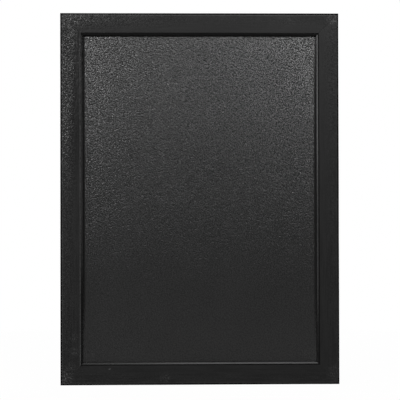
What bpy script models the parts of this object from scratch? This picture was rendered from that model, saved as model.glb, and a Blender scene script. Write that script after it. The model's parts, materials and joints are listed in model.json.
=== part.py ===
"""A framed menu chalkboard, 300 x 400 mm, that hangs on a wall upright or on its long side.

Metres, +Z up. The writing side faces -Y and the wall is the plane y = 0. The origin is the middle of
the top rail's back face. Left and right are as seen from the writing side.
"""

import math

import bmesh
import bpy
from mathutils import Matrix, Vector

# Board and frame moulding
BOARD_WIDTH = 0.300
BOARD_HEIGHT = 0.400
FRAME_DEPTH = 0.016
FACE_WIDTH = 0.0217
BEVEL_WIDTH = 0.0022
BEVEL_DEPTH = 0.0020
LIP_DEPTH = 0.0055
REBATE_WIDTH = 0.0060
OUTER_ROUND = 0.0012
SIGHT_ROUND = 0.0008
BACK_ROUND = 0.0005

# Boards in the rebate
PANEL_THICKNESS = 0.0025
BACKING_THICKNESS = 0.0025
BOARD_SIDE_GAP = 0.0007
SEAT_GAP = 0.0003

# V-nails across the mitres, driven from the back
V_NAIL_LEG = 0.0050
V_NAIL_SHEET = 0.0005
V_NAIL_HEIGHT = 0.0070
V_NAIL_SUNK = 0.0003
V_NAIL_INSETS = (0.0045, 0.0110)

# Framer's points, pushed into the rebate wall to hold the boards
POINT_WIDTH = 0.0060
POINT_SHEET = 0.0006
POINT_BITE = 0.0070
POINT_TAIL = 0.0090
POINT_SHOULDER = 0.0035
POINT_TAIL_ROUND = 0.0015
LONG_SIDE_POINTS = (-0.135, -0.045, 0.045, 0.135)
SHORT_SIDE_POINTS = (-0.065, 0.065)

# Hangers: a strap folded round a wire ring, riveted to the backing board
HANGER_INSET = 0.0240
STRAP_WIDTH = 0.0080
STRAP_LENGTH = 0.0105
STRAP_SHEET = 0.0006
STRAP_LEG_GAP = 0.0002
STRAP_TAIL_ROUND = 0.0028
STRAP_NECK_RADIUS = 0.0010
RING_WIRE_RADIUS = 0.0008
RING_HALF_WIDTH = 0.0120
RING_HEIGHT = 0.0220
RING_CORNER = 0.0022
RING_CLEARANCE = 0.00025
RIVET_DROP = 0.0062
RIVET_SHANK_RADIUS = 0.0013
RIVET_HEAD_RADIUS = 0.0024
RIVET_HEAD_RISE = 0.0009
RIVET_TAIL_RADIUS = 0.0023
RIVET_TAIL_SHEET = 0.0005
RIVET_SINK_DEPTH = 0.0010
RIVET_CLEARANCE = 0.0003

# Fineness of round stretches
ARC_STEPS = 4
RING_ARC_STEPS = 6
LOOP_STEPS = 16
NECK_STEPS = 5
ROUND_STEPS = 20

# Depths along Y and widths that follow from the sizes above
FRONT_Y = -FRAME_DEPTH
REBATE_Y = FRONT_Y + LIP_DEPTH
PANEL_FRONT_Y = REBATE_Y + SEAT_GAP
PANEL_BACK_Y = PANEL_FRONT_Y + PANEL_THICKNESS
BACKING_FRONT_Y = PANEL_BACK_Y + SEAT_GAP
BACKING_BACK_Y = BACKING_FRONT_Y + BACKING_THICKNESS
RAIL_WIDTH = FACE_WIDTH + BEVEL_WIDTH
BACK_WIDTH = RAIL_WIDTH - REBATE_WIDTH
STRAP_LOOP_RADIUS = RING_WIRE_RADIUS + RING_CLEARANCE + STRAP_SHEET / 2
PIVOT_RISE = SEAT_GAP + STRAP_LOOP_RADIUS + STRAP_SHEET / 2
STRAP_TOP_RISE = SEAT_GAP + 2 * STRAP_SHEET + STRAP_LEG_GAP

# Each side of the frame: its name, its turn about Y and its outer length
SIDES = {
    "top_rail": (0, BOARD_WIDTH),
    "right_stile": (1, BOARD_HEIGHT),
    "bottom_rail": (2, BOARD_WIDTH),
    "left_stile": (3, BOARD_HEIGHT),
}
# Each corner: its name, the turn of its V-nails about Y, and the way out to it
CORNERS = {
    "bottom_left": (0, -1, -1),
    "top_left": (1, -1, 1),
    "top_right": (2, 1, 1),
    "bottom_right": (3, 1, -1),
}


def clear_scene():
    for obj in list(bpy.data.objects):
        bpy.data.objects.remove(obj)


def finish(name, colour, roughness, metallic=0.0):
    """A Principled material."""
    material = bpy.data.materials.new(name)
    material.use_nodes = True
    shader = material.node_tree.nodes["Principled BSDF"]
    shader.inputs["Base Color"].default_value = (*colour, 1.0)
    shader.inputs["Roughness"].default_value = roughness
    shader.inputs["Metallic"].default_value = metallic
    return material


def quarter_turn(count):
    return Matrix.Rotation(count * math.pi / 2, 4, "Y")


def arc(centre, radius, start, sweep, steps):
    """Points on an arc in a plane, from angle start through sweep."""
    angles = [start + sweep * step / steps for step in range(steps + 1)]
    return [(centre[0] + radius * math.cos(a), centre[1] + radius * math.sin(a)) for a in angles]


def rounded_outline(corners, steps=ARC_STEPS):
    """A closed outline through corners (a, b, radius), each rounded by its own radius."""
    outline = []
    for index, (a, b, radius) in enumerate(corners):
        if radius == 0:
            outline.append((a, b))
            continue
        corner = Vector((a, b))
        back = (Vector(corners[index - 1][:2]) - corner).normalized()
        ahead = (Vector(corners[(index + 1) % len(corners)][:2]) - corner).normalized()
        half_angle = back.angle(ahead) / 2
        centre = corner + (back + ahead).normalized() * radius / math.sin(half_angle)
        first = corner + back * radius / math.tan(half_angle) - centre
        turns_left = ahead.cross(back) > 0
        sweep = (math.pi - 2 * half_angle) * (1 if turns_left else -1)
        outline += arc(centre, radius, math.atan2(first.y, first.x), sweep, steps)
    return outline


def new_verts(extruded):
    return [item for item in extruded["geom"] if isinstance(item, bmesh.types.BMVert)]


def add_prism(bm, outline, y_from, y_to, place=Matrix.Identity(4)):
    """Adds an outline in the XZ plane, extruded along Y, then placed."""
    rim = [bm.verts.new(place @ Vector((a, y_from, b))) for a, b in outline]
    extruded = bmesh.ops.extrude_face_region(bm, geom=[bm.faces.new(rim)])
    along = place.to_3x3() @ Vector((0, y_to - y_from, 0))
    bmesh.ops.translate(bm, verts=new_verts(extruded), vec=along)


def add_revolve(bm, profile, place=Matrix.Identity(4)):
    """Adds a profile of (radius, y) turned about Y. Its ends lie on the axis."""
    verts = [bm.verts.new(place @ Vector((radius, y, 0))) for radius, y in profile]
    edges = [bm.edges.new(pair) for pair in zip(verts, verts[1:])]
    bmesh.ops.spin(
        bm,
        geom=verts + edges,
        cent=place.translation,
        axis=place.to_3x3() @ Vector((0, 1, 0)),
        angle=2 * math.pi,
        steps=ROUND_STEPS,
    )
    bmesh.ops.remove_doubles(bm, verts=bm.verts, dist=1e-6)


def mesh_from(name, bm):
    bmesh.ops.recalc_face_normals(bm, faces=bm.faces)
    mesh = bpy.data.meshes.new(name)
    bm.to_mesh(mesh)
    bm.free()
    return mesh


def add_object(name, data, parent, place=Matrix.Identity(4), material=None):
    obj = bpy.data.objects.new(name, data)
    bpy.context.collection.objects.link(obj)
    obj.parent = parent
    obj.matrix_local = place
    if material and not data.materials:
        data.materials.append(material)
    return obj


def add_cutter(name, bm, parent):
    cutter = add_object(name, mesh_from(name, bm), parent)
    cutter.hide_render = True
    cutter.display_type = "WIRE"
    return cutter


def cut(obj, cutter):
    modifier = obj.modifiers.new(cutter.name, "BOOLEAN")
    modifier.operation = "DIFFERENCE"
    modifier.solver = "EXACT"
    modifier.object = cutter


def shade_round(mesh):
    mesh.shade_smooth()
    mesh.set_sharp_from_angle(angle=math.radians(35))


def side_place(turn, distance):
    """From the middle of a side to the board's middle: local +Z points out of the board."""
    return quarter_turn(turn) @ Matrix.Translation((0, 0, distance))


def side_distance(turn):
    return (BOARD_WIDTH if turn % 2 else BOARD_HEIGHT) / 2


# Frame

def moulding_profile():
    """Section of the moulding as (distance in from the outer edge, y)."""
    return rounded_outline(
        [
            (0, 0, BACK_ROUND),
            (0, FRONT_Y, OUTER_ROUND),
            (FACE_WIDTH, FRONT_Y, SIGHT_ROUND),
            (RAIL_WIDTH, FRONT_Y + BEVEL_DEPTH, 0),
            (RAIL_WIDTH, REBATE_Y, 0),
            (BACK_WIDTH, REBATE_Y, 0),
            (BACK_WIDTH, 0, 0),
        ]
    )


def mitred_rail(name, turn, outer_length, board, material):
    """The moulding extruded along one side, with both ends cut at 45 degrees."""
    half = (outer_length - SEAT_GAP * math.sqrt(2)) / 2
    bm = bmesh.new()
    near_end = [bm.verts.new((inward - half, y, -inward)) for inward, y in moulding_profile()]
    far_end = bmesh.ops.extrude_face_region(bm, geom=[bm.faces.new(near_end)])
    for vert in new_verts(far_end):
        vert.co.x = -vert.co.x
    place = side_place(turn, side_distance(turn))
    rail = add_object(name, mesh_from(name, bm), board, place, material)
    shade_round(rail.data)
    return rail


def v_nail_outline(clearance=0.0):
    """A right-angled V in plan, its corner on the mitre and a leg along each rail."""
    low = -clearance
    inner = V_NAIL_SHEET + clearance
    tip = V_NAIL_LEG + clearance
    return [(low, low), (tip, low), (tip, inner), (inner, inner), (inner, tip), (low, tip)]


def v_nail_places():
    for corner, (turn, out_x, out_z) in CORNERS.items():
        for number, inset in enumerate(V_NAIL_INSETS, 1):
            x = out_x * (BOARD_WIDTH / 2 - inset)
            z = out_z * (BOARD_HEIGHT / 2 - inset)
            yield f"v_nail_{corner}_{number}", Matrix.Translation((x, 0, z)) @ quarter_turn(turn)


def point_places():
    for side, (turn, length) in SIDES.items():
        spots = LONG_SIDE_POINTS if length == BOARD_HEIGHT else SHORT_SIDE_POINTS
        for number, along in enumerate(spots, 1):
            place = side_place(turn, side_distance(turn) - BACK_WIDTH)
            seat = Matrix.Translation((along, BACKING_BACK_Y + SEAT_GAP, 0))
            yield f"framers_point_{side.split('_')[0]}_{number}", place @ seat


def point_outline():
    """An arrow-nosed tongue: the nose bites into the rebate wall, the tail lies on the backing."""
    half = POINT_WIDTH / 2
    return rounded_outline(
        [
            (-half, -POINT_TAIL, POINT_TAIL_ROUND),
            (half, -POINT_TAIL, POINT_TAIL_ROUND),
            (half, POINT_BITE - POINT_SHOULDER, 0),
            (0, POINT_BITE, 0),
            (-half, POINT_BITE - POINT_SHOULDER, 0),
        ]
    )


def fastener_pockets(board):
    """All the slots that the V-nails and the framer's points sit in."""
    bm = bmesh.new()
    floor = -(V_NAIL_SUNK + V_NAIL_HEIGHT + SEAT_GAP)
    for _, place in v_nail_places():
        add_prism(bm, v_nail_outline(SEAT_GAP), SEAT_GAP, floor, place)
    half = POINT_WIDTH / 2 + SEAT_GAP
    end = POINT_BITE + SEAT_GAP
    slot = [(-half, -SEAT_GAP), (half, -SEAT_GAP), (half, end), (-half, end)]
    for _, place in point_places():
        add_prism(bm, slot, -SEAT_GAP, POINT_SHEET + SEAT_GAP, place)
    return add_cutter("fastener_pockets", bm, board)


def build_frame(board, lacquer, steel):
    pockets = fastener_pockets(board)
    for name, (turn, length) in SIDES.items():
        cut(mitred_rail(name, turn, length, board, lacquer), pockets)

    bm = bmesh.new()
    add_prism(bm, v_nail_outline(), -V_NAIL_SUNK, -V_NAIL_SUNK - V_NAIL_HEIGHT)
    v_nail = mesh_from("v_nail", bm)
    for name, place in v_nail_places():
        add_object(name, v_nail, board, place, steel)

    bm = bmesh.new()
    add_prism(bm, point_outline(), 0, POINT_SHEET)
    point = mesh_from("framers_point", bm)
    for name, place in point_places():
        add_object(name, point, board, place, steel)


# Writing panel and backing board

def rebate_board(name, front_y, thickness, board, material):
    """A flat board that fills the rebate."""
    half_width = BOARD_WIDTH / 2 - BACK_WIDTH - BOARD_SIDE_GAP
    half_height = BOARD_HEIGHT / 2 - BACK_WIDTH - BOARD_SIDE_GAP
    outline = [
        (-half_width, -half_height),
        (half_width, -half_height),
        (half_width, half_height),
        (-half_width, half_height),
    ]
    bm = bmesh.new()
    add_prism(bm, outline, front_y, front_y + thickness)
    return add_object(name, mesh_from(name, bm), board, material=material)


# Hangers, with the backing's back at y = 0, the wire along X at z = 0, the strap and the ring below it

def strap_centre_line():
    """The folded strip's middle as (y, z, normal y, normal z), from tail to tail round the wire."""
    under = SEAT_GAP + STRAP_SHEET / 2
    over = STRAP_TOP_RISE - STRAP_SHEET / 2
    drop = PIVOT_RISE + STRAP_LOOP_RADIUS - over
    lean = math.acos(1 - drop / (STRAP_LOOP_RADIUS + STRAP_NECK_RADIUS))
    line = [(under, -STRAP_LENGTH, -1.0, 0.0)]
    for step in range(LOOP_STEPS + 1):
        angle = math.pi - (math.pi + lean) * step / LOOP_STEPS
        y, z = math.cos(angle), math.sin(angle)
        line.append((PIVOT_RISE + STRAP_LOOP_RADIUS * y, STRAP_LOOP_RADIUS * z, y, z))
    neck_y = over + STRAP_NECK_RADIUS
    neck_z = -(STRAP_LOOP_RADIUS + STRAP_NECK_RADIUS) * math.sin(lean)
    for step in range(1, NECK_STEPS + 1):
        angle = math.pi - lean * (1 - step / NECK_STEPS)
        y, z = math.cos(angle), math.sin(angle)
        line.append((neck_y + STRAP_NECK_RADIUS * y, neck_z + STRAP_NECK_RADIUS * z, -y, -z))
    line.append((over, -STRAP_LENGTH, 1.0, 0.0))
    return line


def strap_mesh():
    """The centre line thickened to sheet, extruded to the strap's width, its tails rounded."""
    half = STRAP_SHEET / 2
    line = strap_centre_line()
    outer = [(y + half * ny, z + half * nz) for y, z, ny, nz in line]
    inner = [(y - half * ny, z - half * nz) for y, z, ny, nz in line]
    across = Matrix.Rotation(math.pi / 2, 4, "Z")
    bm = bmesh.new()
    add_prism(bm, outer + inner[::-1], -STRAP_WIDTH / 2, STRAP_WIDTH / 2, across)
    corners = [
        edge
        for edge in bm.edges
        if all(abs(vert.co.z + STRAP_LENGTH) < 1e-6 for vert in edge.verts)
        and abs(edge.verts[0].co.x - edge.verts[1].co.x) < 1e-6
    ]
    bmesh.ops.bevel(
        bm,
        geom=corners,
        offset=STRAP_TAIL_ROUND,
        segments=ARC_STEPS,
        profile=0.5,
        affect="EDGES",
    )
    return mesh_from("hanger_strap", bm)


def ring_curve():
    """The wire bent to a round-cornered triangle, its long side on the pivot axis."""
    path = rounded_outline(
        [
            (-RING_HALF_WIDTH, 0, RING_CORNER),
            (0, -RING_HEIGHT, RING_CORNER),
            (RING_HALF_WIDTH, 0, RING_CORNER),
        ],
        RING_ARC_STEPS,
    )
    curve = bpy.data.curves.new("hanger_ring", "CURVE")
    curve.dimensions = "3D"
    curve.bevel_depth = RING_WIRE_RADIUS
    curve.bevel_resolution = 2
    spline = curve.splines.new("POLY")
    spline.points.add(len(path) - 1)
    for point, (x, z) in zip(spline.points, path):
        point.co = (x, 0, z, 1)
    spline.use_cyclic_u = True
    spline.use_smooth = True
    return curve


def rivet_profile():
    """A domed head on the strap, the shank, and the tail spread in the backing's sink."""
    head_y = STRAP_TOP_RISE + SEAT_GAP
    tail_y = RIVET_SINK_DEPTH - BACKING_THICKNESS - SEAT_GAP
    dome = [
        (RIVET_HEAD_RADIUS * math.cos(a), head_y + RIVET_HEAD_RISE * math.sin(a))
        for a in (math.pi / 2 * step / ARC_STEPS for step in range(ARC_STEPS))
    ]
    return [
        (0, tail_y - RIVET_TAIL_SHEET),
        (RIVET_TAIL_RADIUS, tail_y - RIVET_TAIL_SHEET),
        (RIVET_TAIL_RADIUS, tail_y),
        (RIVET_SHANK_RADIUS, tail_y),
        (RIVET_SHANK_RADIUS, head_y),
        *dome,
        (0, head_y + RIVET_HEAD_RISE),
    ]


def rivet_hole_profile():
    """The way for the shank through strap and backing, with the sink for the tail."""
    shank = RIVET_SHANK_RADIUS + RIVET_CLEARANCE
    sink = RIVET_TAIL_RADIUS + RIVET_CLEARANCE
    sink_y = RIVET_SINK_DEPTH - BACKING_THICKNESS
    beyond = BACKING_THICKNESS
    return [
        (0, sink_y - beyond),
        (sink, sink_y - beyond),
        (sink, sink_y),
        (shank, sink_y),
        (shank, STRAP_TOP_RISE + beyond),
        (0, STRAP_TOP_RISE + beyond),
    ]


def build_hangers(board, backing, steel):
    """One hanger below the top rail and one beside the right stile, for each way up."""
    bm = bmesh.new()
    add_revolve(bm, rivet_profile())
    rivet = mesh_from("hanger_rivet", bm)
    shade_round(rivet)
    strap = strap_mesh()
    shade_round(strap)
    ring = ring_curve()
    seat = Matrix.Translation((0, BACKING_BACK_Y, 0))
    at_rivet = Matrix.Translation((0, 0, -RIVET_DROP))
    at_pivot = Matrix.Translation((0, PIVOT_RISE, 0))

    for name, turn in (("portrait", 0), ("landscape", 1)):
        distance = side_distance(turn) - BACK_WIDTH - HANGER_INSET
        place = seat @ side_place(turn, distance)
        hanger = add_object(f"{name}_hanger", None, board, place)
        bm = bmesh.new()
        add_revolve(bm, rivet_hole_profile(), at_rivet)
        hole = add_cutter(f"{name}_rivet_hole", bm, hanger)
        cut(add_object(f"{name}_hanger_strap", strap, hanger, material=steel), hole)
        cut(backing, hole)
        add_object(f"{name}_hanger_rivet", rivet, hanger, at_rivet, steel)
        add_object(f"{name}_hanger_ring", ring, hanger, at_pivot, steel)


def main():
    clear_scene()
    lacquer = finish("black_lacquer", (0.018, 0.018, 0.019), 0.45)
    chalk = finish("chalk_surface", (0.030, 0.030, 0.031), 0.60)
    hardboard = finish("hardboard", (0.190, 0.105, 0.052), 0.75)
    steel = finish("zinc_steel", (0.62, 0.63, 0.64), 0.35, 1.0)

    middle = (0, 0, (BACK_WIDTH - BOARD_HEIGHT) / 2)
    board = add_object("board", None, None, Matrix.Translation(middle))
    build_frame(board, lacquer, steel)
    rebate_board("chalk_panel", PANEL_FRONT_Y, PANEL_THICKNESS, board, chalk)
    backing = rebate_board("backing_board", BACKING_FRONT_Y, BACKING_THICKNESS, board, hardboard)
    build_hangers(board, backing, steel)


main()
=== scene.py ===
"""Looks of the framed menu chalkboard: lacquered moulding, grained writing panel, backing and hangers.

Metres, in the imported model's own frame: the writing side faces -Y and the wall is the plane y = 0.
Left and right are as seen from the writing side.
"""

import json
import math
from typing import NamedTuple

import bmesh
import bpy
import numpy as np
from mathutils import Matrix, Vector


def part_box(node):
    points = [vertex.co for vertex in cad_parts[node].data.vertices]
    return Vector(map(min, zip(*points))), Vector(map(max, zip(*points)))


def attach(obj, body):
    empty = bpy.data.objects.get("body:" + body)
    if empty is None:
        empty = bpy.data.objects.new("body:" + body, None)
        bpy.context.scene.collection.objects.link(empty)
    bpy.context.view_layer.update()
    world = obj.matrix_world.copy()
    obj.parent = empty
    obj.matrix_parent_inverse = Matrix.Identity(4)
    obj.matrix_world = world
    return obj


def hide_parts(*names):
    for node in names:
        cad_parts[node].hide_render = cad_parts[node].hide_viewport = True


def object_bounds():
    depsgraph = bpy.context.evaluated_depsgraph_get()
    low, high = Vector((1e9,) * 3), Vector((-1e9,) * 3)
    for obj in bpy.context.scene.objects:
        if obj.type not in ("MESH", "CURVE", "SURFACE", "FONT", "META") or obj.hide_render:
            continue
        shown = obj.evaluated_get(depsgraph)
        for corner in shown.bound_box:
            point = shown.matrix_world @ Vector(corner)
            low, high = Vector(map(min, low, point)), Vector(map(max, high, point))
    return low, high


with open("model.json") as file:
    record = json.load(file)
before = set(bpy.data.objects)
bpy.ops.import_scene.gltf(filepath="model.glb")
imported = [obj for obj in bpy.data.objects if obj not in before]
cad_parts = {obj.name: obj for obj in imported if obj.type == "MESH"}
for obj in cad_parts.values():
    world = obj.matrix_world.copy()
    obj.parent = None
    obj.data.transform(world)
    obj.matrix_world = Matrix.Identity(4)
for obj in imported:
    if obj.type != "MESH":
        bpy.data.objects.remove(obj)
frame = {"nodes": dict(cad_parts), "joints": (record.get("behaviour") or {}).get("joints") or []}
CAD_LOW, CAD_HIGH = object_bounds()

# Places and sizes that the frame gives
MIDDLE = (CAD_LOW + CAD_HIGH) / 2
BOARD_WIDTH = CAD_HIGH.x - CAD_LOW.x
BOARD_HEIGHT = CAD_HIGH.z - CAD_LOW.z
FRONT_Y = CAD_LOW.y
BACK_Y = CAD_HIGH.y
RAIL_WIDTH = CAD_HIGH.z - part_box("top_rail")[0].z
PIVOTS = {joint["child"]: Vector(joint["pos_m"]) for joint in frame["joints"]}

# Moulding section
BEVEL_WIDTH = 0.0022
BEVEL_DEPTH = 0.0020
LIP_DEPTH = 0.0055
REBATE_WIDTH = 0.0060
OUTER_ROUND = 0.0012
# Width in from the outer edge of the near-black painted shade on the outer rounding
OUTER_PAINTED_SHADE = 0.0017
SIGHT_ROUND = 0.0008
NOSE_ROUND = 0.0003
BACK_ROUND = 0.0005
MITRE_GAP = 0.00002
FACE_WIDTH = RAIL_WIDTH - BEVEL_WIDTH
BACK_WIDTH = RAIL_WIDTH - REBATE_WIDTH
REBATE_Y = FRONT_Y + LIP_DEPTH

# Lines along the moulding, some rubbed light with painted highlight, one painted dark as shade: where each
# one starts, is full, fades and ends, in from the outer edge
OUTER_RUB_AND_HIGHLIGHT_LINE = tuple(OUTER_PAINTED_SHADE + offset for offset in (0.0, 0.0002, 0.0008, 0.0014))
SIGHT_RUB_AND_HIGHLIGHT_LINE = tuple(FACE_WIDTH + offset for offset in (-0.0010, -0.0006, -0.0001, 0.0003))
SIGHT_PAINTED_SHADE_LINE = tuple(FACE_WIDTH + offset for offset in (-0.0006, -0.0002, 0.0003, 0.0007))

# Changes across the moulding, each from its start to its full effect (the first is the end of the painted
# shade on the outer rounding), and the share of pitting, with its partly painted sheen, lost by it
OUTER_PAINTED_SHADE_END = (OUTER_PAINTED_SHADE - 0.0001, OUTER_PAINTED_SHADE + 0.0001)
SIGHT_SMOOTH = (FACE_WIDTH - SIGHT_ROUND, FACE_WIDTH - 0.0003)
BACK_THINNING = (BACK_Y - 0.0008, BACK_Y - 0.0002)
PITTING_AND_SHEEN_FADE = (0.0060, 0.0190)
PITTING_AND_SHEEN_LOSS = 0.9

# Fineness of the moulding's mesh, and how its mitred ends are eased
FACE_STEP = 0.0007
SIDE_STEP = 0.0016
ALONG_STEP = 0.0012
ROUND_STEPS = 6
END_RINGS = ((0.0, 0.00006), (0.0002, 0.00001), (0.0006, 0.0))

# Relief of the lacquered wood: cell along the grain, cell across it, height
WAVE = (0.060, 0.014, 0.00004)
FIBRE = (0.016, 0.0010, 0.000012)
PORE = (0.0022, 0.0012, 0.00004)


class Side(NamedTuple):
    """One side of the frame: quarter turns about Y, how open its pores are at one end, the middle and the
    other end (open pores are painted lighter, partly as painted sheen), how light its outer and sight
    arrises are rubbed and given painted highlight lines, how dark its sight arris is painted as shade,
    and the seed of its relief."""
    turn: int
    pores: tuple
    outer_rub_and_highlight: float
    sight_rub_and_highlight: float
    sight_painted_shade: float
    seed: int


SIDES = {
    "top_rail": Side(0, (0.85, 0.25, 0.25), 0.060, 0.0, 0.0, 11),
    "right_stile": Side(1, (0.35, 0.30, 0.30), 0.010, 0.0, 1.0, 23),
    "bottom_rail": Side(2, (0.30, 0.25, 0.30), 0.018, 0.0, 1.0, 37),
    "left_stile": Side(3, (0.45, 0.55, 1.70), 0.030, 0.090, 0.0, 51),
}

# Corners from the bottom left round to the bottom right: quarter turns about Y, then outwards in x and z
CORNERS = ((0, -1, -1), (1, -1, 1), (2, 1, 1), (3, 1, -1))

# Share of a spot's reach that has its full strength
SPOT_CORE = 0.3

# Rubbed places on the frame: x and z from the board's middle, reach, strength
RUBS = (
    (-0.1430, 0.1910, 0.0150, 0.08),
    (0.1450, 0.1945, 0.0110, 0.20),
    (-0.1450, -0.1920, 0.0120, 0.17),
    (-0.1390, -0.1800, 0.0070, 0.08),
    (-0.1355, -0.1480, 0.0060, 0.08),
    (-0.1355, -0.1640, 0.0070, 0.09),
    (0.1455, -0.1880, 0.0120, 0.06),
    (-0.0375, -0.1935, 0.0080, 0.07),
    (0.0980, 0.1975, 0.0110, 0.06),
)

# A small dent: x and z from the board's middle, its reach and depth, and how light it is rubbed
NICK = (-0.0976, -0.1823)
NICK_REACH = 0.0013
NICK_DEPTH = 0.0002
NICK_RUB = 0.15

# Slots for the V-nails and the framer's points
V_NAIL_LEG = 0.0050
V_NAIL_SHEET = 0.0005
V_NAIL_HEIGHT = 0.0073
V_NAIL_INSETS = (0.0045, 0.0110)
SLOT_GAP = 0.0003

# Boards: fineness of the mesh, height and seed of the relief
PANEL_STEP = 0.00103
PANEL_RELIEF = 0.00002
PANEL_SEED = 71
BACKING_STEP = 0.0016
BACKING_RELIEF = 0.00003
BACKING_SEED = 83

# The panel's smooth margin in from the stiles, its wiped part down from the middle, the grain lost there
PANEL_MARGIN = (0.0016, 0.0030)
PANEL_WIPED = (0.005, 0.165)
PANEL_WIPED_LOSS = 0.6

# Chalk dust left on the panel: x and z from the board's middle, reach, strength
DUST = (
    (0.1190, -0.1700, 0.0120, 0.050),
    (-0.1180, -0.1660, 0.0130, 0.030),
)

# Hangers: a strap folded round a wire ring, riveted to the backing board
SEAT_GAP = 0.0003
STRAP_WIDTH = 0.0080
STRAP_LENGTH = 0.0105
STRAP_SHEET = 0.0006
STRAP_LEG_GAP = 0.0002
STRAP_TAIL_ROUND = 0.0028
STRAP_NECK_RADIUS = 0.0010
STRAP_EDGE = 0.00012
STRAP_TOP_RISE = SEAT_GAP + 2 * STRAP_SHEET + STRAP_LEG_GAP
RING_WIRE_RADIUS = 0.0008
RING_HALF_WIDTH = 0.0120
RING_HEIGHT = 0.0220
RING_CORNER = 0.0022
RING_CLEARANCE = 0.00025
STRAP_LOOP_RADIUS = RING_WIRE_RADIUS + RING_CLEARANCE + STRAP_SHEET / 2
PIVOT_RISE = SEAT_GAP + STRAP_SHEET / 2 + STRAP_LOOP_RADIUS
RIVET_DROP = 0.0062
RIVET_RADIUS = 0.0024
RIVET_RISE = 0.0009
RIVET_SHANK_RADIUS = 0.0013
RIVET_SHANK_DEPTH = 0.0018
LOOP_STEPS = 40
NECK_STEPS = 10
BEND_STEPS = 16
WIRE_SIDES = 20
RIVET_SIDES = 40

# Eased edges, and angles from which an edge counts as sharp
FASTENER_EDGE = 0.0001
EDGE_STEPS = 2
EASED_ANGLE = math.radians(60)
SMOOTH_ANGLE = math.radians(40)

# Points nearer than this are the same
TOLERANCE = 0.000001

# Grain of the paint and of the open pores, domes with flecks over them: width, lean, spread of gloss
PAINT_DOME = (0.0015, 0.22, 0.55)
PAINT_FLECK = (0.0007, 0.10, 0.24)
PORE_DOME = (0.0018, 0.22, 0.30)
PORE_FLECK = (0.0009, 0.22, 0.90)

# Turn of the domes' pattern, and from where a dome's crown gives way to its edge, in widths
DOME_TURN = 0.6
DOME_CROWN = (0.10, 0.65)

# Lamps: name, place, how far across they point, width, height, power in watts
LAMPS = (
    ("left_box", (-0.69, -1.90, 0.52), 0.0, 0.3, 0.3, 20.0),
    ("right_box", (0.42, -1.37, 0.37), 0.0, 0.3, 0.3, 7.4),
    ("left_strip", (-0.75, -0.205, 0.10), 0.0, 0.12, 0.5, 2.2),
    ("left_low_strip", (-0.75, -0.205, -0.26), 0.0, 0.12, 0.22, 0.35),
    ("right_strip", (0.85, -0.160, -0.05), 0.0, 0.10, 0.5, 0.5),
    ("top_box", (0.14, -0.220, 0.75), 0.14, 0.40, 0.2, 2.3),
    ("top_left_box", (-0.14, -0.220, 0.75), -0.14, 0.16, 0.2, 0.50),
    ("rear_box", (0.35, 1.30, 0.40), 0.0, 0.5, 0.5, 12.0),
)
WORLD_LIGHT = 0.08

# Floor: size, gap below the board, its grey, and the share of plain white in what the camera sees of it
FLOOR_RADIUS = 0.75
FLOOR_SIDES = 96
FLOOR_GAP = 0.0004
FLOOR_GREY = 0.55
FLOOR_WHITE = 0.985

# Camera, fitted to the photograph's silhouette
CAMERA_DISTANCE = 1.5
CAMERA_TURN = math.radians(-1.440)
CAMERA_RISE = math.radians(-0.740)
CAMERA_ROLL = math.radians(-0.123)
CAMERA_LENS = 125.39
CAMERA_CENTRE = Vector((0, FRONT_Y + 0.001, MIDDLE.z))
CAMERA_AIM = Vector((0.00008, 0, -0.00140))


# Node materials

# Numbers of the Mix node's colour sockets, which share their names with others
MIX_FIRST, MIX_SECOND, MIX_RESULT = 6, 7, 2


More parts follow.
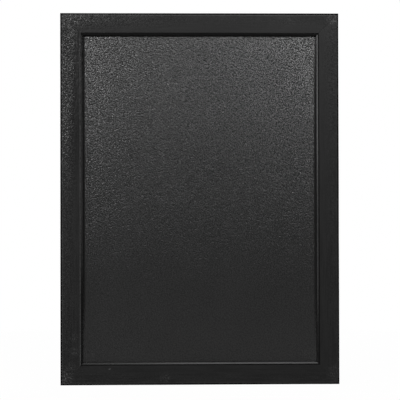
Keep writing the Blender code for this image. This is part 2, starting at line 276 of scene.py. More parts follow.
class Shading:
    """A Principled material with one short call for each kind of node."""

    def __init__(self, name):
        self.material = bpy.data.materials.new(name)
        self.material.use_nodes = True
        self.tree = self.material.node_tree
        self.shader = self.tree.nodes["Principled BSDF"]

    def feed(self, socket, value):
        if isinstance(value, bpy.types.NodeSocket):
            self.tree.links.new(value, socket)
        else:
            socket.default_value = value

    def node(self, kind, inputs, **settings):
        made = self.tree.nodes.new(f"ShaderNode{kind}")
        for setting, value in settings.items():
            setattr(made, setting, value)
        for key, value in inputs.items():
            self.feed(made.inputs[key], value)
        return made

    def place(self):
        return self.node("TexCoord", {}).outputs["Object"]

    def attribute(self, name, output):
        return self.node("Attribute", {}, attribute_name=name).outputs[output]

    def stretch(self, vector, cells):
        """The vector counted in cells, one size for each axis."""
        return self.vector("MULTIPLY", vector, tuple(1 / cell for cell in cells))

    def noise(self, vector, cells, detail=2.0, roughness=0.5):
        inputs = {
            "Vector": self.stretch(vector, cells),
            "Scale": 1.0,
            "Detail": detail,
            "Roughness": roughness,
        }
        return self.node("TexNoise", inputs).outputs["Fac"]

    def vector(self, operation, *inputs):
        return self.node("VectorMath", dict(enumerate(inputs)), operation=operation).outputs["Vector"]

    def part(self, vector, axis):
        return self.node("SeparateXYZ", {"Vector": vector}).outputs[axis]

    def math(self, operation, first, second):
        return self.node("Math", {0: first, 1: second}, operation=operation).outputs["Value"]

    def remap(self, value, low, high, to_low=0.0, to_high=1.0):
        inputs = {
            "Value": value,
            "From Min": low,
            "From Max": high,
            "To Min": to_low,
            "To Max": to_high,
        }
        return self.node("MapRange", inputs, interpolation_type="SMOOTHSTEP").outputs["Result"]

    def band(self, value, start, full, fade, end):
        """One between full and fade, nothing before start or after end."""
        return self.math("MULTIPLY", self.remap(value, start, full), self.remap(value, fade, end, 1.0, 0.0))

    def mix(self, factor, first, second):
        made = self.node("Mix", {}, data_type="RGBA")
        self.feed(made.inputs["Factor"], factor)
        self.feed(made.inputs[MIX_FIRST], first)
        self.feed(made.inputs[MIX_SECOND], second)
        return made.outputs[MIX_RESULT]

    def bump(self, height, distance, under=None):
        inputs = {"Height": height, "Distance": distance, "Strength": 1.0}
        if under:
            inputs["Normal"] = under
        return self.node("Bump", inputs).outputs["Normal"]

    def turned(self, vector, angle):
        inputs = {"Vector": vector, "Angle": angle}
        return self.node("VectorRotate", inputs, rotation_type="Z_AXIS").outputs["Vector"]

    def joined(self, **parts):
        return self.node("CombineXYZ", parts).outputs["Vector"]

    def cells(self, vector, output, dimensions):
        inputs = {"Vector": vector, "Scale": 1.0}
        return self.node("TexVoronoi", inputs, voronoi_dimensions=dimensions).outputs[output]

    def domes(self, width):
        """Slopes of small domes side by side on the board's front."""
        place = self.stretch(self.place(), (width,) * 3)
        flat = self.turned(self.joined(X=self.part(place, "X"), Y=self.part(place, "Z")), DOME_TURN)
        crown = self.cells(flat, "Position", "2D")
        aside = self.turned(self.vector("SUBTRACT", flat, crown), -DOME_TURN)
        return self.joined(X=self.part(aside, "X"), Z=self.part(aside, "Y"))

    def flecks(self, width):
        """Three random numbers in each cell of a fine grain."""
        return self.cells(self.stretch(self.place(), (width,) * 3), "Color", "3D")

    def grain(self, dome, fleck, share):
        """A normal leant aside by domes and flecks, and the gloss that they have: most on the domes' crowns
        and by chance in each fleck. Both are even where the share is nothing."""
        dome_width, dome_lean, dome_spread = dome
        fleck_width, fleck_lean, fleck_spread = fleck
        domes = self.domes(dome_width)
        flecks = self.flecks(fleck_width)
        normal = self.node("NewGeometry", {}).outputs["Normal"]
        chance = self.vector("SUBTRACT", flecks, (0.5,) * 3)
        for slopes, lean in ((domes, dome_lean), (chance, fleck_lean)):
            amount = self.math("MULTIPLY", share, lean)
            normal = self.vector("ADD", normal, self.vector("MULTIPLY", slopes, amount))
        aside = self.node("VectorMath", {0: domes}, operation="LENGTH").outputs["Value"]
        edge = self.remap(aside, *DOME_CROWN)
        gloss = self.vector(
            "MULTIPLY",
            self.mix(edge, grey(1 + dome_spread), grey(1 - dome_spread)),
            self.mix(self.part(flecks, "Z"), grey(1 - fleck_spread), grey(1 + fleck_spread)),
        )
        return self.vector("NORMALIZE", normal), self.mix(share, grey(1.0), gloss)

    def finish(self, **sockets):
        for name, value in sockets.items():
            self.feed(self.shader.inputs[name.replace("_", " ")], value)
        return self.material


def grey(value, warmth=0.0):
    return (value * (1 + warmth), value, value * (1 - warmth), 1.0)


def black_lacquer():
    """Thin black lacquer over open-pored wood: smooth on the sight edge, rubbed at the corners, painted as
    shade on the outer rounding and some sight arrises, with painted highlight lines along the arrises and a
    partly painted sheen on the open pores.
    """
    made = Shading("black_lacquer")
    grain = made.attribute("grain", "Vector")
    pores = made.attribute("pores", "Fac")
    pitting_and_sheen = made.attribute("pitting_and_sheen", "Fac")
    thin = made.attribute("thin_coat", "Fac")
    sight = made.attribute("sight_edge", "Fac")
    inward = made.part(grain, "Y")
    streak = made.noise(grain, (0.030, 0.0012, 0.0012), 3.0)
    cloud = made.noise(grain, (0.050, 0.018, 0.018), 2.0)
    fleck = made.noise(grain, (0.0022, 0.0010, 0.0010), 3.0, 0.65)

    # Light lines along the outer and sight arrises: partly rubbed lacquer, partly painted highlight
    outer_rub_and_highlight_band = made.band(inward, *OUTER_RUB_AND_HIGHLIGHT_LINE)
    outer_rub_and_highlight_band = made.math("MULTIPLY", outer_rub_and_highlight_band, made.attribute("outer_rub_and_highlight", "Fac"))
    sight_rub_and_highlight_band = made.band(inward, *SIGHT_RUB_AND_HIGHLIGHT_LINE)
    sight_rub_and_highlight_band = made.math("MULTIPLY", sight_rub_and_highlight_band, made.attribute("sight_rub_and_highlight", "Fac"))
    # Painted shade: the outer rounding, and the sight arris where a side asks for it, go near black
    outer_painted_shade_band = made.remap(inward, *OUTER_PAINTED_SHADE_END, 1.0, 0.0)
    outer_painted_shade_band = made.math("MULTIPLY", outer_painted_shade_band, made.attribute("outer_painted_shade", "Fac"))
    # Painted shade along the sight arris of the right stile and the bottom rail
    sight_painted_shade_band = made.band(inward, *SIGHT_PAINTED_SHADE_LINE)
    sight_painted_shade_band = made.math("MULTIPLY", sight_painted_shade_band, made.attribute("sight_painted_shade", "Fac"))
    dark = made.math("MAXIMUM", outer_painted_shade_band, sight_painted_shade_band)
    speckle = made.remap(fleck, 0.35, 0.65, 0.5, 1.3)
    arris = made.math("MULTIPLY", made.math("MAXIMUM", outer_rub_and_highlight_band, sight_rub_and_highlight_band), speckle)
    rubbed = made.math("MULTIPLY", made.attribute("wear", "Fac"), made.remap(fleck, 0.50, 0.66))
    rubbed = made.math("MAXIMUM", rubbed, made.attribute("bare", "Fac"))

    colour = made.mix(made.remap(streak, 0.35, 0.65), grey(0.0085), grey(0.0115))
    # Lighter where the pores are most open, most at the top left and towards the outer edge: partly open
    # pores, partly painted sheen
    colour = made.mix(made.remap(pitting_and_sheen, 0.4, 1.0), colour, grey(0.0170))
    colour = made.mix(sight, colour, grey(0.0040))
    colour = made.mix(made.math("MULTIPLY", thin, streak), colour, grey(0.050, 0.15))
    # Light grey of rubbed lacquer, which also carries the painted highlight lines along the arrises
    colour = made.mix(made.math("MAXIMUM", rubbed, arris), colour, grey(0.45))
    # Painted shade, near black, over the outer rounding and the shaded sight arrises
    colour = made.mix(dark, colour, grey(0.0010))

    roughness = made.remap(cloud, 0.3, 0.7, 0.40, 0.45)
    roughness = made.math("ADD", roughness, made.remap(streak, 0.3, 0.7, 0.0, 0.05))
    roughness = made.remap(pores, 0.3, 1.0, roughness, 0.27)
    roughness = made.remap(sight, 0.0, 1.0, roughness, 0.20)
    roughness = made.remap(thin, 0.0, 1.0, roughness, 0.65)
    roughness = made.remap(dark, 0.0, 1.0, roughness, 1.0)
    normal, gloss = made.grain(PORE_DOME, PORE_FLECK, pitting_and_sheen)
    return made.finish(
        Base_Color=colour,
        Roughness=roughness,
        Specular_IOR_Level=0.13,
        Specular_Tint=gloss,
        Normal=made.bump(streak, 0.00003, normal),
    )


def chalk_surface():
    """Black writing paint with a fine grain, left smooth beside the stiles and wiped low down."""
    made = Shading("chalk_surface")
    place = made.place()
    speck = made.noise(place, (0.0005,) * 3, 1.0)
    crumb = made.noise(place, (0.0016,) * 3, 2.0)
    cloud = made.noise(place, (0.060,) * 3, 3.0)
    margin = made.attribute("margin", "Fac")
    dust = made.attribute("dust", "Fac")
    colour = made.mix(made.remap(cloud, 0.3, 0.7), grey(0.0085), grey(0.0100))
    colour = made.mix(made.math("MULTIPLY", dust, made.remap(crumb, 0.55, 0.70)), colour, grey(0.45))
    roughness = made.remap(speck, 0.3, 0.7, 0.276, 0.286)
    roughness = made.remap(margin, 0.0, 1.0, roughness, 0.15)
    normal, gloss = made.grain(PAINT_DOME, PAINT_FLECK, made.attribute("grain", "Fac"))
    return made.finish(
        Base_Color=colour,
        Roughness=roughness,
        Specular_IOR_Level=0.45,
        Specular_Tint=gloss,
        Normal=normal,
    )


def hardboard():
    """Brown pressed wood fibre."""
    made = Shading("hardboard")
    place = made.place()
    fibre = made.noise(place, (0.0040, 0.0010, 0.0007), 4.0, 0.65)
    cross = made.noise(place, (0.0007, 0.0010, 0.0045), 4.0, 0.65)
    speck = made.noise(place, (0.0012,) * 3, 3.0, 0.7)
    cloud = made.noise(place, (0.050,) * 3, 3.0)
    colour = made.mix(made.remap(cloud, 0.3, 0.7), (0.180, 0.098, 0.049, 1.0), (0.205, 0.115, 0.060, 1.0))
    colour = made.mix(made.remap(fibre, 0.50, 0.72, 0.0, 0.7), colour, (0.330, 0.205, 0.115, 1.0))
    colour = made.mix(made.remap(cross, 0.52, 0.74, 0.0, 0.6), colour, (0.110, 0.058, 0.030, 1.0))
    colour = made.mix(made.remap(speck, 0.58, 0.74, 0.0, 0.7), colour, (0.070, 0.036, 0.019, 1.0))
    roughness = made.remap(cross, 0.3, 0.7, 0.62, 0.80)
    normal = made.bump(made.math("ADD", fibre, cross), 0.00012)
    return made.finish(Base_Color=colour, Roughness=roughness, Specular_IOR_Level=0.2, Normal=normal)


def zinc_steel():
    """Zinc-plated steel with a faint mottle and drawing lines."""
    made = Shading("zinc_steel")
    place = made.place()
    mottle = made.noise(place, (0.0016,) * 3, 3.0, 0.6)
    line = made.noise(place, (0.006, 0.0002, 0.0002), 2.0)
    colour = made.mix(made.remap(mottle, 0.3, 0.7), (0.50, 0.51, 0.52, 1.0), (0.66, 0.67, 0.68, 1.0))
    roughness = made.remap(mottle, 0.3, 0.7, 0.28, 0.40)
    normal = made.bump(line, 0.00001)
    return made.finish(Base_Color=colour, Roughness=roughness, Metallic=1.0, Normal=normal)


MATERIALS = {
    "black_lacquer": black_lacquer(),
    "chalk_surface": chalk_surface(),
    "hardboard": hardboard(),
    "zinc_steel": zinc_steel(),
}


# Helpers

def add_piece(name, data, body, slot, *replaced):
    """A piece in the frame's place, finished from a slot, standing for the CAD nodes it replaces."""
    piece = bpy.data.objects.new(name, data)
    bpy.context.scene.collection.objects.link(piece)
    data.materials.append(MATERIALS[slot])
    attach(piece, body)
    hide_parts(*replaced)
    return piece


def quarter_turn(count):
    return Matrix.Rotation(count * math.pi / 2, 4, "Y")


def side_place(turn):
    """From a side's own axes to the board: X along the side, Z out of the board, zero on its edge."""
    reach = (BOARD_WIDTH if turn % 2 else BOARD_HEIGHT) / 2
    middle = Vector((MIDDLE.x, 0, MIDDLE.z))
    return Matrix.Translation(middle) @ quarter_turn(turn) @ Matrix.Translation((0, 0, reach))


def side_length(turn):
    return BOARD_HEIGHT if turn % 2 else BOARD_WIDTH


def arc(centre, radius, start, sweep, steps):
    angles = [start + sweep * step / steps for step in range(steps + 1)]
    return [(centre[0] + radius * math.cos(a), centre[1] + radius * math.sin(a)) for a in angles]


def rounded_outline(corners, steps=ROUND_STEPS):
    """A closed outline through corners (a, b, radius), each rounded by its own radius."""
    outline = []
    for index, (a, b, radius) in enumerate(corners):
        if radius == 0:
            outline.append((a, b))
            continue
        corner = Vector((a, b))
        back = (Vector(corners[index - 1][:2]) - corner).normalized()
        ahead = (Vector(corners[(index + 1) % len(corners)][:2]) - corner).normalized()
        half_angle = back.angle(ahead) / 2
        centre = corner + (back + ahead).normalized() * radius / math.sin(half_angle)
        first = corner + back * radius / math.tan(half_angle) - centre
        turns_left = ahead.cross(back) > 0
        sweep = (math.pi - 2 * half_angle) * (1 if turns_left else -1)
        outline += arc(centre, radius, math.atan2(first.y, first.x), sweep, steps)
    return outline


def smooth(ramp):
    return ramp * ramp * (3 - 2 * ramp)


def lattice_noise(first, second, seed):
    """A smooth random field from -1 to 1, with one random value at each whole-number place."""
    first = first - first.min()
    second = second - second.min()
    a, b = first.astype(int), second.astype(int)
    s, t = smooth(first - a), smooth(second - b)
    table = np.random.default_rng(seed).uniform(-1, 1, (a.max() + 2, b.max() + 2))
    low = table[a, b] * (1 - s) + table[a + 1, b] * s
    high = table[a, b + 1] * (1 - s) + table[a + 1, b + 1] * s
    return low * (1 - t) + high * t


def step_up(value, low, high):
    return smooth(np.clip((value - low) / (high - low), 0, 1))


def set_attribute(mesh, name, values):
    kind, field = ("FLOAT_VECTOR", "vector") if values.ndim == 2 else ("FLOAT", "value")
    layer = mesh.attributes.new(name, kind, "POINT")
    layer.data.foreach_set(field, values.astype(np.float32).ravel())


def mesh_points(mesh):
    flat = np.empty(3 * len(mesh.vertices), np.float32)
    mesh.vertices.foreach_get("co", flat)
    return flat.reshape(-1, 3).astype(float)


def mesh_of(name, points, faces):
    """A closed mesh with its faces turned outwards."""
    mesh = bpy.data.meshes.new(name)
    mesh.from_pydata(points, [], faces)
    bm = bmesh.new()
    bm.from_mesh(mesh)
    bpy.data.meshes.remove(mesh)
    return mesh_from(name, bm)


def mesh_from(name, bm):
    bmesh.ops.recalc_face_normals(bm, faces=bm.faces)
    mesh = bpy.data.meshes.new(name)
    bm.to_mesh(mesh)
    bm.free()
    return mesh


def shade_round(mesh):
    mesh.shade_smooth()
    mesh.set_sharp_from_angle(angle=SMOOTH_ANGLE)


def add_prism(bm, outline, y_from, y_to, place=Matrix.Identity(4)):
    """Adds an outline in the XZ plane, extruded along Y, then placed."""
    rim = [bm.verts.new(place @ Vector((a, y_from, b))) for a, b in outline]
    extruded = bmesh.ops.extrude_face_region(bm, geom=[bm.faces.new(rim)])
    verts = [item for item in extruded["geom"] if isinstance(item, bmesh.types.BMVert)]
    bmesh.ops.translate(bm, verts=verts, vec=place.to_3x3() @ Vector((0, y_to - y_from, 0)))


# Frame

def moulding_section():
    """The moulding's outline as (in from the outer edge, y), with fine steps where it shows."""
    outline = rounded_outline(
        [
            (0, BACK_Y, BACK_ROUND),
            (0, FRONT_Y, OUTER_ROUND),
            (FACE_WIDTH, FRONT_Y, SIGHT_ROUND),
            (RAIL_WIDTH, FRONT_Y + BEVEL_DEPTH, NOSE_ROUND),
            (RAIL_WIDTH, REBATE_Y, NOSE_ROUND),
            (BACK_WIDTH, REBATE_Y, 0),
            (BACK_WIDTH, BACK_Y, NOSE_ROUND),
        ]
    )
    fine = []
    for (u, y), (next_u, next_y) in zip(outline, outline[1:] + outline[:1]):
        shows = max(y, next_y) < REBATE_Y
        outside = u == next_u == 0
        step = FACE_STEP if shows else SIDE_STEP if outside else RAIL_WIDTH
        count = max(1, math.ceil(math.hypot(next_u - u, next_y - y) / step))
        fine += [(u + (next_u - u) * k / count, y + (next_y - y) * k / count) for k in range(count)]
    return np.array(fine)


def section_normals(section):
    """Unit vectors out of the wood. The section runs from the back edge round the front."""
    ahead = np.roll(section, -1, axis=0) - np.roll(section, 1, axis=0)
    normals = np.stack((ahead[:, 1], -ahead[:, 0]), axis=1)
    return normals / np.linalg.norm(normals, axis=1, keepdims=True)


def open_pores(along, half, pores):
    """How open the pores are along a side, between its ends and its middle."""
    return np.interp(along, (-half, 0, half), pores)


def wood_relief(along, across, pores, seed):
    """Height of the wood's surface: slow waves, long fibres and short open pores."""
    height = np.zeros_like(along)
    shares = (1.0, 1.0, pores)
    for number, (share, (cell_along, cell_across, rise)) in enumerate(zip(shares, (WAVE, FIBRE, PORE))):
        height += share * rise * lattice_noise(along / cell_along, across / cell_across, seed + number)
    return height


def rail_stations(half):
    """Places along a rail from mitre to mitre: the share of the half length, the cut back from the
    mitre and how far the arris is eased there."""
    ends = END_RINGS[:-1]
    span = np.linspace(-1, 1, round(2 * half / ALONG_STEP) + 1)
    stations = [(-1.0, cut, ease) for cut, ease in ends]
    stations += [(share, *END_RINGS[-1]) for share in span]
    stations += [(1.0, cut, ease) for cut, ease in reversed(ends)]
    return np.array(stations)


def rail_mesh(name, side):
    """One mitred length of moulding, in the side's own axes, with the wood's relief where it shows."""
    section = moulding_section()
    normals = section_normals(section)
    shown = (section[:, 1] < REBATE_Y - NOSE_ROUND) | (section[:, 0] < BACK_ROUND)
    steps = np.linalg.norm(np.diff(section, axis=0), axis=1)
    across = np.concatenate(([0], np.cumsum(steps)))
    half = (side_length(side.turn) - MITRE_GAP * math.sqrt(2)) / 2
    span, cut, ease = (column[:, None] for column in rail_stations(half).T)

    along = span * (half - section[:, 0] - cut)
    pores = open_pores(along, half, side.pores)
    lift = shown * (wood_relief(along, across + 0 * along, pores, side.seed) - ease)
    inward = section[:, 0] + lift * normals[:, 0]
    depth = section[:, 1] + lift * normals[:, 1]
    along = span * (half - inward - cut)
    points = np.stack((along, depth, -inward), axis=2)

    index = np.arange(along.size).reshape(along.shape)
    beside = np.roll(index, -1, axis=1)
    quads = np.stack((index[:-1], beside[:-1], beside[1:], index[1:]), axis=2)
    faces = quads.reshape(-1, 4).tolist()
    faces += [index[0].tolist(), index[-1, ::-1].tolist()]
    return mesh_of(name, points.reshape(-1, 3).tolist(), faces)


def v_nail_slots(bm):
    low, inner, tip = -SLOT_GAP, V_NAIL_SHEET + SLOT_GAP, V_NAIL_LEG + SLOT_GAP
    outline = [(low, low), (tip, low), (tip, inner), (inner, inner), (inner, tip), (low, tip)]
    for turn, out_x, out_z in CORNERS:
        for inset in V_NAIL_INSETS:
            x = out_x * (BOARD_WIDTH / 2 - inset)
            z = out_z * (BOARD_HEIGHT / 2 - inset) + MIDDLE.z
            place = Matrix.Translation((x, 0, z)) @ quarter_turn(turn)
            add_prism(bm, outline, BACK_Y + SLOT_GAP, BACK_Y - V_NAIL_HEIGHT - SLOT_GAP, place)


def point_slots(bm):
    for name in frame["nodes"]:
        if name.startswith("framers_point"):
            low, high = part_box(name)
            low = low - Vector((SLOT_GAP,) * 3)
            high = high + Vector((SLOT_GAP,) * 3)
            outline = [(low.x, low.z), (high.x, low.z), (high.x, high.z), (low.x, high.z)]
            add_prism(bm, outline, low.y, high.y)


def fastener_slots():
    """One cutter for all the slots in the frame's back."""
    bm = bmesh.new()
    v_nail_slots(bm)
    point_slots(bm)
    cutter = bpy.data.objects.new("fastener_slots", mesh_from("fastener_slots", bm))
    bpy.context.scene.collection.objects.link(cutter)
    return cutter


def slotted(mesh, place, cutter):
    """The mesh put in its place with the fasteners' slots cut out of it."""
    blank = bpy.data.objects.new("blank", mesh)
    bpy.context.scene.collection.objects.link(blank)
    mesh.transform(place)
    cut = blank.modifiers.new("slots", "BOOLEAN")
    cut.operation = "DIFFERENCE"
    cut.solver = "EXACT"
    cut.object = cutter
    shown = blank.evaluated_get(bpy.context.evaluated_depsgraph_get())
    result = bpy.data.meshes.new_from_object(shown)
    bpy.data.objects.remove(blank)
    return result


def near(points, x, z, reach):
    """One at a place on the board's front, counted from its middle, falling to nothing at its reach."""
    distance = np.hypot(points[:, 0] - MIDDLE.x - x, points[:, 2] - MIDDLE.z - z)
    return 1 - step_up(distance, SPOT_CORE * reach, reach)


def press_nick(mesh):
    """A small dent in the lacquered face."""
    points = mesh_points(mesh)
    face = points[:, 1] < FRONT_Y + NICK_DEPTH
    points[:, 1] += NICK_DEPTH * face * near(points, *NICK, NICK_REACH)
    mesh.vertices.foreach_set("co", points.astype(np.float32).ravel())


def spots(points, places):
    """The strongest of several spots at each point."""
    found = [strength * near(points, x, z, reach) for x, z, reach, strength in places]
    return np.max(found, axis=0)


def mark_rail(mesh, side):
    """Stores what the lacquer needs at each point of a side that is in its place."""
    points = mesh_points(mesh)
    turned = np.array(side_place(side.turn).inverted())
    local = points @ turned[:3, :3].T + turned[:3, 3]
    along, y, inward = local[:, 0], local[:, 1], -local[:, 2]
    pores = open_pores(along, side_length(side.turn) / 2, side.pores)
    front = y < FRONT_Y + BEVEL_DEPTH
    face = y < FRONT_Y + NICK_DEPTH
    behind = step_up(y, *BACK_THINNING)
    rebate = (inward > BACK_WIDTH - NOSE_ROUND) & (y > REBATE_Y - NOSE_ROUND)
    fade = 1 - PITTING_AND_SHEEN_LOSS * step_up(inward, *PITTING_AND_SHEEN_FADE)
    set_attribute(mesh, "grain", np.stack((along + side.seed, inward, y), axis=1))
    set_attribute(mesh, "pores", pores)
    # Open pores, strongest at the top left and towards the outer edge; the lacquer paints them lighter,
    # partly as painted sheen
    set_attribute(mesh, "pitting_and_sheen", pores * fade * face)
    set_attribute(mesh, "wear", front * spots(points, RUBS))
    set_attribute(mesh, "bare", face * NICK_RUB * near(points, *NICK, NICK_REACH))
    # How light the arrises are rubbed, which also carries painted highlight lines
    set_attribute(mesh, "outer_rub_and_highlight", front * side.outer_rub_and_highlight)
    set_attribute(mesh, "sight_rub_and_highlight", front * side.sight_rub_and_highlight)
    # Painted shade along the sight arris
    set_attribute(mesh, "sight_painted_shade", front * side.sight_painted_shade)
    # Painted shade over the outer rounding, full at the front and fading back along the sides
    set_attribute(mesh, "outer_painted_shade", 1 - step_up(y, FRONT_Y + OUTER_ROUND, FRONT_Y + 2 * OUTER_ROUND))
    set_attribute(mesh, "sight_edge", front * step_up(inward, *SIGHT_SMOOTH))
    set_attribute(mesh, "thin_coat", np.maximum(behind, rebate.astype(float)))


def build_frame():
    cutter = fastener_slots()
    for name, side in SIDES.items():
        mesh = slotted(rail_mesh(name, side), side_place(side.turn), cutter)
        press_nick(mesh)
        mark_rail(mesh, side)
        shade_round(mesh)
        add_piece(f"{name}_moulding", mesh, "board", "black_lacquer", name)
    bpy.data.objects.remove(cutter)


# Boards

def relief_board(name, node, step, relief, seed, front):
    """A board whose front or back carries a fine random relief, in the place of its CAD node."""
    low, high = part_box(node)
    columns = round((high.x - low.x) / step)
    rows = round((high.z - low.z) / step)
    x, z = np.meshgrid(np.linspace(low.x, high.x, columns + 1), np.linspace(low.z, high.z, rows + 1))
    heights = np.random.default_rng(seed).standard_normal(x.shape)
    heights *= relief / heights.std()
    heights[[0, -1], :] = 0
    heights[:, [0, -1]] = 0
    plain, far, out = (low.y, high.y, -1) if front else (high.y, low.y, 1)
    y = plain + out * heights
    points = np.stack((x, y, z), axis=2).reshape(-1, 3).tolist()
    index = np.arange(x.size).reshape(x.shape)
    quads = np.stack((index[:-1, :-1], index[:-1, 1:], index[1:, 1:], index[1:, :-1]), axis=2)
    faces = quads.reshape(-1, 4).tolist()
    corners = [len(points) + k for k in range(4)]
    points += [(low.x, far, low.z), (high.x, far, low.z), (high.x, far, high.z), (low.x, far, high.z)]
    edges = (index[0, :], index[:, -1], index[-1, ::-1], index[::-1, 0])
    for side, edge in enumerate(edges):
        faces.append(edge.tolist() + [corners[(side + 1) % 4], corners[side]])
    faces.append(corners)
    mesh = mesh_of(name, points, faces)
    shade_round(mesh)
    return mesh


def mark_panel(mesh):
    """Stores where the panel is smooth beside the stiles, where it is wiped and where chalk dust lies."""
    points = mesh_points(mesh)
    inside = BOARD_WIDTH / 2 - RAIL_WIDTH - np.abs(points[:, 0] - MIDDLE.x)
    open_part = step_up(inside, *PANEL_MARGIN)
    wiped = step_up(MIDDLE.z - points[:, 2], *PANEL_WIPED)
    set_attribute(mesh, "margin", 1 - open_part)
    set_attribute(mesh, "grain", open_part * (1 - PANEL_WIPED_LOSS * wiped))
    set_attribute(mesh, "dust", spots(points, DUST))


def build_boards():
    panel = relief_board("chalk_panel_grain", "chalk_panel", PANEL_STEP, PANEL_RELIEF, PANEL_SEED, True)
    mark_panel(panel)
    add_piece("chalk_panel_grain", panel, "board", "chalk_surface", "chalk_panel")
    backing = relief_board(
        "backing_fibre", "backing_board", BACKING_STEP, BACKING_RELIEF, BACKING_SEED, False
    )
    add_piece("backing_fibre", backing, "board", "hardboard", "backing_board")


# Hangers, in axes of their own: the wire runs along X at the origin and the strap hangs down from it

def strap_line():
    """The folded strip's middle as (y, z, normal y, normal z), from tail to tail round the wire."""
    over = STRAP_TOP_RISE - STRAP_SHEET / 2 - PIVOT_RISE
    lean = math.acos(1 - (STRAP_LOOP_RADIUS - over) / (STRAP_LOOP_RADIUS + STRAP_NECK_RADIUS))
    line = [(-STRAP_LOOP_RADIUS, -STRAP_LENGTH, -1.0, 0.0)]
    for y, z in arc((0, 0), 1, math.pi, -math.pi - lean, LOOP_STEPS):
        line.append((STRAP_LOOP_RADIUS * y, STRAP_LOOP_RADIUS * z, y, z))
    neck_y = over + STRAP_NECK_RADIUS
    neck_z = -(STRAP_LOOP_RADIUS + STRAP_NECK_RADIUS) * math.sin(lean)
    for y, z in arc((0, 0), 1, math.pi - lean, lean, NECK_STEPS)[1:]:
        line.append((neck_y + STRAP_NECK_RADIUS * y, neck_z + STRAP_NECK_RADIUS * z, -y, -z))
    line.append((over, -STRAP_LENGTH, 1.0, 0.0))
    return line


def bevel_edges(bm, edges, width, steps):
    bmesh.ops.bevel(bm, geom=edges, offset=width, segments=steps, profile=0.5, affect="EDGES")


def strap_mesh():
    """The strip thickened to sheet, with round tails and eased edges."""
    half = STRAP_SHEET / 2
    line = strap_line()
    outer = [(y + half * ny, z + half * nz) for y, z, ny, nz in line]
    inner = [(y - half * ny, z - half * nz) for y, z, ny, nz in line]
    bm = bmesh.new()
    across = Matrix.Rotation(math.pi / 2, 4, "Z")
    add_prism(bm, outer + inner[::-1], -STRAP_WIDTH / 2, STRAP_WIDTH / 2, across)
    tails = [
        edge
        for edge in bm.edges
        if all(abs(vert.co.z + STRAP_LENGTH) < TOLERANCE for vert in edge.verts)
        and abs(edge.verts[0].co.x - edge.verts[1].co.x) < TOLERANCE
    ]
    bevel_edges(bm, tails, STRAP_TAIL_ROUND, BEND_STEPS)
    sharp = [edge for edge in bm.edges if edge.calc_face_angle(0) > EASED_ANGLE]
    bevel_edges(bm, sharp, STRAP_EDGE, EDGE_STEPS)
    mesh = mesh_from("hanger_strap", bm)
    shade_round(mesh)
    return mesh


def ring_mesh():
    """Wire bent to a round-cornered triangle, its long side on the pivot axis."""
    path = rounded_outline(
        [
            (-RING_HALF_WIDTH, 0, RING_CORNER),
            (0, -RING_HEIGHT, RING_CORNER),
            (RING_HALF_WIDTH, 0, RING_CORNER),
        ],
        BEND_STEPS,
    )
    path = np.array(path)
    ahead = np.roll(path, -1, axis=0) - path
    ahead /= np.linalg.norm(ahead, axis=1, keepdims=True)
    tangent = ahead + np.roll(ahead, 1, axis=0)
    tangent /= np.linalg.norm(tangent, axis=1, keepdims=True)
    turn = np.linspace(0, 2 * math.pi, WIRE_SIDES, endpoint=False)
    out, rise = RING_WIRE_RADIUS * np.cos(turn), RING_WIRE_RADIUS * np.sin(turn)
    x = path[:, :1] + tangent[:, 1:] * out
    z = path[:, 1:] - tangent[:, :1] * out
    points = np.stack((x, rise + 0 * x, z), axis=2)
    index = np.arange(x.size).reshape(x.shape)
    after, beside = np.roll(index, -1, axis=0), np.roll(index, -1, axis=1)
    diagonal = np.roll(after, -1, axis=1)
    faces = np.stack((index, beside, diagonal, after), axis=2)
    mesh = mesh_of("hanger_ring", points.reshape(-1, 3).tolist(), faces.reshape(-1, 4).tolist())
    mesh.shade_smooth()
    return mesh


def rivet_mesh():
    """A domed head on the strap and the shank below it."""
    seat = STRAP_TOP_RISE + SEAT_GAP - PIVOT_RISE
    quarter = arc((0, 0), 1, 0, math.pi / 2, BEND_STEPS)
    dome = [(RIVET_RADIUS * a, seat + RIVET_RISE * b) for a, b in quarter]
    profile = [(0, seat - RIVET_SHANK_DEPTH), (RIVET_SHANK_RADIUS, seat - RIVET_SHANK_DEPTH)]
    profile += [(RIVET_SHANK_RADIUS, seat), *dome[:-1], (0, seat + RIVET_RISE)]
    bm = bmesh.new()
    verts = [bm.verts.new((radius, y, 0)) for radius, y in profile]
    edges = [bm.edges.new(pair) for pair in zip(verts, verts[1:])]
    bmesh.ops.spin(
        bm,
        geom=verts + edges,
        cent=(0, 0, 0),
        axis=(0, 1, 0),
        angle=2 * math.pi,
        steps=RIVET_SIDES,
        use_merge=True,
    )
    bmesh.ops.remove_doubles(bm, verts=bm.verts, dist=TOLERANCE)
    bmesh.ops.translate(bm, verts=bm.verts, vec=(0, 0, -RIVET_DROP))
    mesh = mesh_from("hanger_rivet", bm)
    shade_round(mesh)
    return mesh


def build_hangers():
    for name, turn in (("portrait", 0), ("landscape", 1)):
        place = Matrix.Translation(PIVOTS[f"{name}_ring"]) @ quarter_turn(turn)
        pieces = (
            ("strap", strap_mesh(), "board"),
            ("rivet", rivet_mesh(), "board"),
            ("ring", ring_mesh(), f"{name}_ring"),
        )
        for kind, mesh, body in pieces:
            mesh.transform(place)
            add_piece(f"{name}_{kind}_finish", mesh, body, "zinc_steel", f"{name}_hanger_{kind}")


def finish_fasteners():
    """Steel and slightly eased edges for the V-nails and the framer's points."""
    for name, node in frame["nodes"].items():
        if name.startswith(("v_nail", "framers_point")):
            node.data.materials.clear()
            node.data.materials.append(MATERIALS["zinc_steel"])
            node.modifiers.new("joined corners", "WELD").merge_threshold = TOLERANCE
            eased = node.modifiers.new("eased edges", "BEVEL")
            eased.width = FASTENER_EDGE
            eased.segments = EDGE_STEPS
            eased.limit_method = "ANGLE"


# Stage, lamps and camera

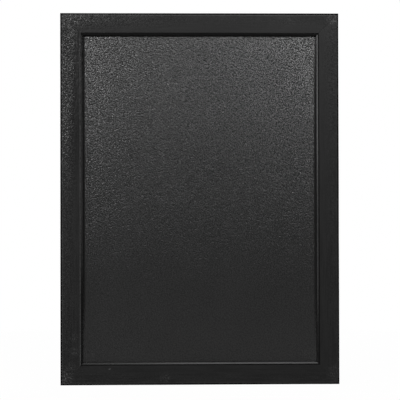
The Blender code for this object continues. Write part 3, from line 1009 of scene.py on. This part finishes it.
def stage_floor():
    """A grey floor that the camera sees as almost white."""
    bm = bmesh.new()
    bmesh.ops.create_circle(bm, cap_ends=True, segments=FLOOR_SIDES, radius=FLOOR_RADIUS)
    bmesh.ops.translate(bm, verts=bm.verts, vec=(0, 0, CAD_LOW.z - FLOOR_GAP))
    floor = bpy.data.objects.new("floor", mesh_from("floor", bm))
    bpy.context.scene.collection.objects.link(floor)
    material = bpy.data.materials.new("floor")
    material.use_nodes = True
    tree = material.node_tree
    tree.nodes.clear()
    paint = tree.nodes.new("ShaderNodeBsdfDiffuse")
    paint.inputs["Color"].default_value = grey(FLOOR_GREY)
    white = tree.nodes.new("ShaderNodeEmission")
    path = tree.nodes.new("ShaderNodeLightPath")
    share = tree.nodes.new("ShaderNodeMath")
    share.operation = "MULTIPLY"
    share.inputs[1].default_value = FLOOR_WHITE
    mix = tree.nodes.new("ShaderNodeMixShader")
    out = tree.nodes.new("ShaderNodeOutputMaterial")
    tree.links.new(path.outputs["Is Camera Ray"], share.inputs[0])
    tree.links.new(share.outputs[0], mix.inputs[0])
    tree.links.new(paint.outputs[0], mix.inputs[1])
    tree.links.new(white.outputs[0], mix.inputs[2])
    tree.links.new(mix.outputs[0], out.inputs["Surface"])
    floor.data.materials.append(material)


def soft_box(name, place, target, width, height, power):
    lamp = bpy.data.lights.new(name, "AREA")
    lamp.shape = "RECTANGLE"
    lamp.size, lamp.size_y = width, height
    lamp.energy = power
    obj = bpy.data.objects.new(name, lamp)
    bpy.context.scene.collection.objects.link(obj)
    obj.location = place
    obj.rotation_euler = (Vector(target) - Vector(place)).to_track_quat("-Z", "Y").to_euler()


def stage_light():
    for name, place, across, width, height, power in LAMPS:
        soft_box(name, place, (across, MIDDLE.y, MIDDLE.z), width, height, power)


def combined(tree, operation, *values):
    """The result of a Math node fed by other nodes of its tree."""
    node = tree.nodes.new("ShaderNodeMath")
    node.operation = operation
    for socket, value in zip(node.inputs, values):
        tree.links.new(value, socket)
    return node.outputs[0]


def stage_world():
    """A dim room with a white backdrop: the camera sees white all round, and mirrors see it behind."""
    world = bpy.data.worlds.new("studio")
    bpy.context.scene.world = world
    world.use_nodes = True
    tree = world.node_tree
    light = tree.nodes["Background"]
    light.inputs["Color"].default_value = (1, 1, 1, 1)
    path = tree.nodes.new("ShaderNodeLightPath")
    direction = tree.nodes.new("ShaderNodeSeparateXYZ")
    tree.links.new(tree.nodes.new("ShaderNodeTexCoord").outputs["Generated"], direction.inputs[0])
    mirrored = combined(tree, "MAXIMUM", path.outputs["Is Glossy Ray"], path.outputs["Is Transmission Ray"])
    behind = combined(tree, "MULTIPLY", mirrored, direction.outputs["Y"])
    white = combined(tree, "MAXIMUM", path.outputs["Is Camera Ray"], behind)
    strength = tree.nodes.new("ShaderNodeMapRange")
    strength.inputs["To Min"].default_value = WORLD_LIGHT
    strength.inputs["To Max"].default_value = 1.0
    tree.links.new(white, strength.inputs["Value"])
    tree.links.new(strength.outputs[0], light.inputs["Strength"])


def stage_camera():
    data = bpy.data.cameras.new("camera")
    data.lens = CAMERA_LENS
    camera = bpy.data.objects.new("camera", data)
    bpy.context.scene.collection.objects.link(camera)
    away = Vector(
        (
            math.sin(CAMERA_TURN) * math.cos(CAMERA_RISE),
            -math.cos(CAMERA_TURN) * math.cos(CAMERA_RISE),
            math.sin(CAMERA_RISE),
        )
    )
    eye = CAMERA_CENTRE + CAMERA_DISTANCE * away
    look = (CAMERA_CENTRE + CAMERA_AIM - eye).to_track_quat("-Z", "Y").to_matrix().to_4x4()
    camera.matrix_world = Matrix.Translation(eye) @ look @ Matrix.Rotation(CAMERA_ROLL, 4, "Z")
    bpy.context.scene.camera = camera


build_frame()
build_boards()
build_hangers()
finish_fasteners()
stage_floor()
stage_light()
stage_world()
stage_camera()
bpy.context.scene.view_settings.view_transform = "Standard"
